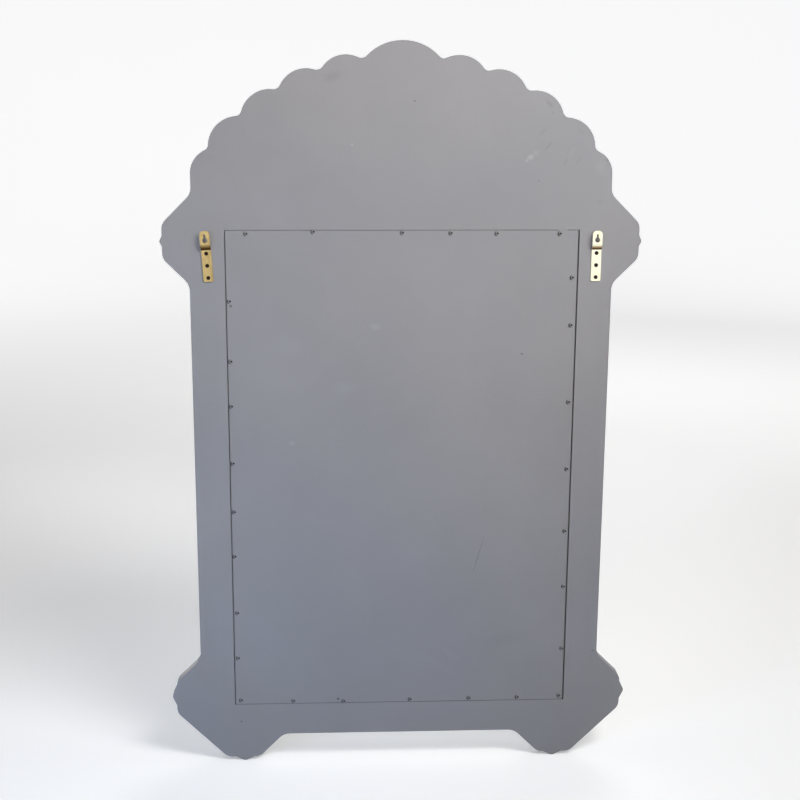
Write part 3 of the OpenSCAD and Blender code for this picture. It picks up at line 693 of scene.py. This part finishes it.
def make_stage():
    """The stage sends little light back to the mirror, and brightens towards its far parts."""
    mesh = bmesh.new()
    profile = [(STAGE_NEAR, FOOT_Z), (STAGE_FAR, FOOT_Z)]
    for i in range(1, SWEEP_STEPS + 1):
        angle = math.radians(i * 90 / SWEEP_STEPS)
        back, up = SWEEP * math.sin(angle), SWEEP * (1 - math.cos(angle))
        profile.append((STAGE_FAR - back, FOOT_Z + up))
    profile.append((STAGE_FAR - SWEEP, STAGE_TOP))
    rows = [[mesh.verts.new((x, y, z)) for x in (-STAGE_HALF, STAGE_HALF)] for y, z in profile]
    for row, after in zip(rows, rows[1:]):
        mesh.faces.new((row[0], row[1], after[1], after[0]))
    data = bpy.data.meshes.new("stage")
    mesh.to_mesh(data)
    mesh.free()
    for face in data.polygons:
        face.use_smooth = True
    stage = bpy.data.objects.new("stage", data)
    bpy.context.collection.objects.link(stage)
    s = Shader("stage")
    seen = s.node("ShaderNodeLightPath")
    either = s.math("MAXIMUM", seen.outputs["Is Camera Ray"], seen.outputs["Is Glossy Ray"])
    either = s.math("MAXIMUM", either, seen.outputs["Is Transmission Ray"])
    cloud = s.noise(scale=3, detail=2)
    pale = s.ramp(cloud, (0.3, shade(STAGE_TONE, STAGE_CLOUD)), (0.7, STAGE_TONE))
    s.feed(s.surface, "Base Color", s.mix(either, linear(STAGE_BOUNCE), pale))
    s.surface.inputs["Roughness"].default_value = 0.9
    s.surface.inputs["Specular IOR Level"].default_value = 0.0
    s.surface.inputs["Emission Color"].default_value = (1, 1, 1, 1)
    away = s.node("ShaderNodeVectorMath", operation="LENGTH")
    s.feed(away, "Vector", s.place)
    lift = s.remap(away.outputs["Value"], LIFT_SPAN, LIFT, smooth=True)
    s.feed(s.surface, "Emission Strength", s.math("MULTIPLY", either, lift))
    data.materials.append(s.material)


# Lights: name, place, the point it looks at, width and height, plain RGB colour, power in watts,
# and the angle of its beam in degrees
LIGHTS = (
    ("key", (-1.10, 0.90, 0.45), (0.05, 0, 0.10), (0.4, 0.4), (0.965, 0.97, 0.965), 1.75, 100),
    ("near_right", (-0.75, 0.75, 0.85), (0, 0, 0.15), (0.5, 0.4), (0.97, 0.97, 0.955), 2.8, 100),
    ("low_left", (1.30, 1.20, -0.30), (0.20, 0, -0.52), (0.6, 0.4), (0.40, 0.63, 1.0), 1.85, 62),
    ("level", (0.30, 1.90, 0.40), (0.05, 0, 0), (0.9, 0.6), (1.0, 0.97, 0.95), 1.75, 80),
    ("high_right", (-0.90, 1.60, 2.00), (0, 0, -0.7), (0.8, 0.8), (1.0, 0.98, 0.95), 32, 180),
    ("front_right", (-0.80, -2.20, 1.10), (0, 0, -0.2), (1.6, 1.6), (1.0, 0.99, 0.97), 27, 180),
    ("face_left", (0.85, -1.75, -0.58), (0, 0, -0.10), (0.4, 0.16), (1.0, 0.99, 0.98), 1.35, 60),
    ("face_right", (-0.85, -1.75, -0.58), (0, 0, -0.10), (0.4, 0.16), (1.0, 0.99, 0.98), 1.35, 60),
)
# The world's plain RGB colour and strength as a light
WORLD = (0.93, 0.91, 1.0)
WORLD_STRENGTH = 0.12
# The world's tone where the camera or a reflection looks past the stage
SKY_TONE = (0.965, 0.965, 0.965)


def make_lights():
    """The lamps, and a world that lights faintly and looks pale to the camera and in gloss."""
    for name, place, target, size, colour, power, beam in LIGHTS:
        data = bpy.data.lights.new(name, "AREA")
        data.shape = "RECTANGLE"
        data.size, data.size_y = size
        data.color = colour
        data.energy = power
        data.spread = math.radians(beam)
        light = bpy.data.objects.new(name, data)
        bpy.context.collection.objects.link(light)
        light.location = place
        light.visible_camera = False
        aim = Vector(target) - Vector(place)
        light.rotation_euler = aim.to_track_quat("-Z", "Y").to_euler()
    world = bpy.data.worlds.new("world")
    world.use_nodes = True
    tree = world.node_tree
    sky = tree.nodes["Background"]
    sky.inputs["Color"].default_value = WORLD + (1.0,)
    sky.inputs["Strength"].default_value = WORLD_STRENGTH
    seen = tree.nodes.new("ShaderNodeLightPath")
    either = tree.nodes.new("ShaderNodeMath")
    either.operation = "MAXIMUM"
    tree.links.new(seen.outputs["Is Camera Ray"], either.inputs[0])
    tree.links.new(seen.outputs["Is Glossy Ray"], either.inputs[1])
    backdrop = tree.nodes.new("ShaderNodeBackground")
    backdrop.inputs["Color"].default_value = linear(SKY_TONE)
    choose = tree.nodes.new("ShaderNodeMixShader")
    tree.links.new(either.outputs["Value"], choose.inputs["Fac"])
    tree.links.new(sky.outputs["Background"], choose.inputs[1])
    tree.links.new(backdrop.outputs["Background"], choose.inputs[2])
    tree.links.new(choose.outputs["Shader"], tree.nodes["World Output"].inputs["Surface"])
    bpy.context.scene.world = world


make_camera()
dress_nodes()
for node_name, edge_width in EDGE_WIDTHS.items():
    soften(node_name, edge_width)
paint_bridge()
make_stage()
make_lights()
bpy.context.scene.view_settings.view_transform = "Standard"
